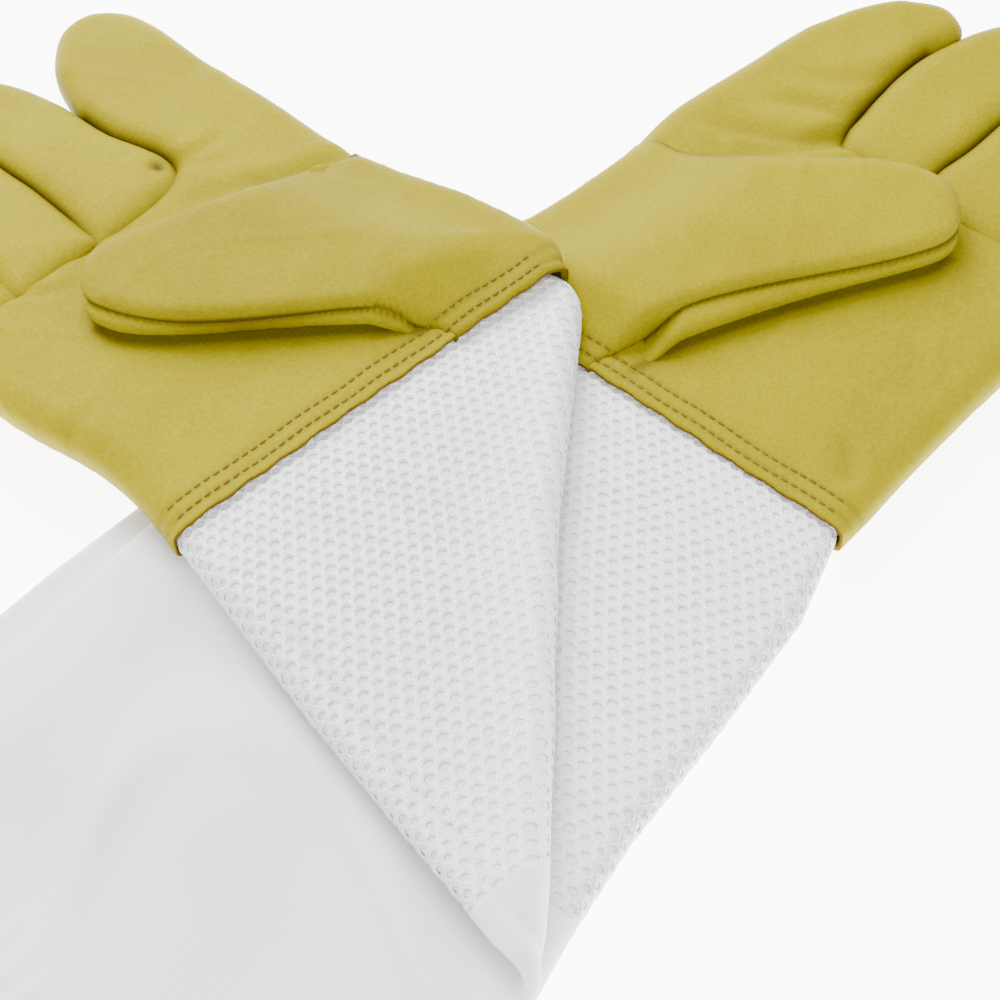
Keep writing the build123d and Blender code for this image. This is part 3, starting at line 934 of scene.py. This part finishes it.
for side in ("left", "right"):
    knit = net(side)
    knit.data.materials.append(knit_white)
    backing = tube_cloth(side + "_mesh_backing", side, lambda u: -6.0 + 0 * u, lambda u: seam_at(side, u),
                         -0.78, 150, 64, 0.0009)
    backing.data.materials.append(spacer_white)
    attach(knit, side + "_hand")
    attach(backing, side + "_hand")
    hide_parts(side + "_mesh_net")
    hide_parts(side + "_mesh_spacer", side + "_mesh_lining")

# The cotton gauntlets: white twill tubes sewn on after the mesh, with a turned hem at the end that is
# gathered by a flat elastic. The right one comes out from under its folded mesh and lies on the left.
END = {"left": 285.0, "right": 276.0}


def gathers(side):
    """Folds of the cotton: soft over its length, tight and even where the elastic pulls."""
    def shape(points, u, v):
        start, stop = LENGTH, END[side]
        pull = ease((v - (stop - 60)) / 45)
        wave = np.sin(u * math.tau * 34 + 2.2 * np.sin(u * 19)) * pull * 1.1
        soft = 3.6 * ripple(points[:, 0], points[:, 1], 58, 14)
        folds = np.exp(-(3 * ripple(points[:, 0], points[:, 1], 95, 21) / 0.34) ** 2)
        soft = (soft + 2.3 * folds) * ease((v - start) / 25)
        from_fold = np.minimum(u, 1 - u) * 330
        low = 0.4 if side == "left" else 10.3
        points = points.copy()
        if side == "left":
            soft = soft + 1.8 * np.exp(-((from_fold - 9) / 7) ** 2) * (points[:, 2] > 4)
        else:
            sunk = 0.85 * np.exp(-(from_fold / 11) ** 2) * ease((v - start) / 10)
            soft = soft * (1 - sunk) - sunk * (points[:, 2] - low)
            soft = soft + 1.4 * np.exp(-((from_fold - 26) / 9) ** 2) * (v > start)
        points[:, 2] = np.maximum(points[:, 2] + wave + soft, low)
        return points
    return shape


for side in ("left", "right"):
    sleeve = tube_cloth(side + "_gauntlet_cotton", side, lambda u: seam_at(side, u) - 2.5,
                        lambda u: END[side] + 0 * u, 0.16, 330, 140, 0.0008, gathers(side))
    sleeve.data.materials.append(cotton_white)
    hem = tube_cloth(side + "_gauntlet_hem", side, lambda u: END[side] - 16 + 0 * u,
                     lambda u: END[side] + 0.6 + 0 * u, 0.9, 420, 14, 0.0022, gathers(side))
    hem.data.materials.append(cotton_white)
    for piece in (sleeve, hem):
        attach(piece, side + "_hand")
    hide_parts(side + "_gauntlet")
    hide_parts(side + "_hem", side + "_elastic")

# The set: a plain pale floor, soft light from above and both sides, and the camera.
bpy.ops.object.select_all(action="DESELECT")
bpy.ops.mesh.primitive_plane_add(size=6, location=(0, 0, -0.0004))
floor = bpy.context.object
floor.name = "floor"
floor_white = plain("floor_white", (0.96, 0.96, 0.96), 0.9, 0.5)
floor_white.node_tree.nodes["Principled BSDF"].inputs["Emission Color"].default_value = (1, 1, 1, 1)
floor_white.node_tree.nodes["Principled BSDF"].inputs["Emission Strength"].default_value = 7.0
floor.data.materials.append(floor_white)

world = bpy.data.worlds.new("studio")
world.use_nodes = True
world.node_tree.nodes["Background"].inputs["Color"].default_value = (1.0, 1.0, 1.0, 1)
world.node_tree.nodes["Background"].inputs["Strength"].default_value = 1.75
bpy.context.scene.world = world


def lamp(name, place, aim, size, power):
    """A square soft box that faces a point."""
    light = bpy.data.lights.new(name, "AREA")
    light.shape, light.size, light.energy = "SQUARE", size, power
    holder = bpy.data.objects.new(name, light)
    bpy.context.collection.objects.link(holder)
    holder.location = place
    away = np.array(place) - np.array(aim)
    holder.rotation_euler = Vector(away).to_track_quat("Z", "Y").to_euler()


lamp("key", (-1.05, 0.60, 1.00), (0, 0, 0), 1.0, 76)
lamp("fill", (1.1, -1.0, 1.1), (0, 0, 0), 1.2, 20)

eye = np.array([207.8, -298.7, 437.4]) + SHIFT
target = np.array([-10.4, -46.8, 0.0]) + SHIFT
view = bpy.data.cameras.new("camera")
view.lens, view.sensor_width = 75.6, 36
view.clip_start, view.clip_end = 0.01, 20
camera = bpy.data.objects.new("camera", view)
bpy.context.collection.objects.link(camera)
camera.location = Vector(eye / 1000)
camera.rotation_euler = Vector((eye - target) / 1000).to_track_quat("Z", "Y").to_euler()
bpy.context.scene.camera = camera
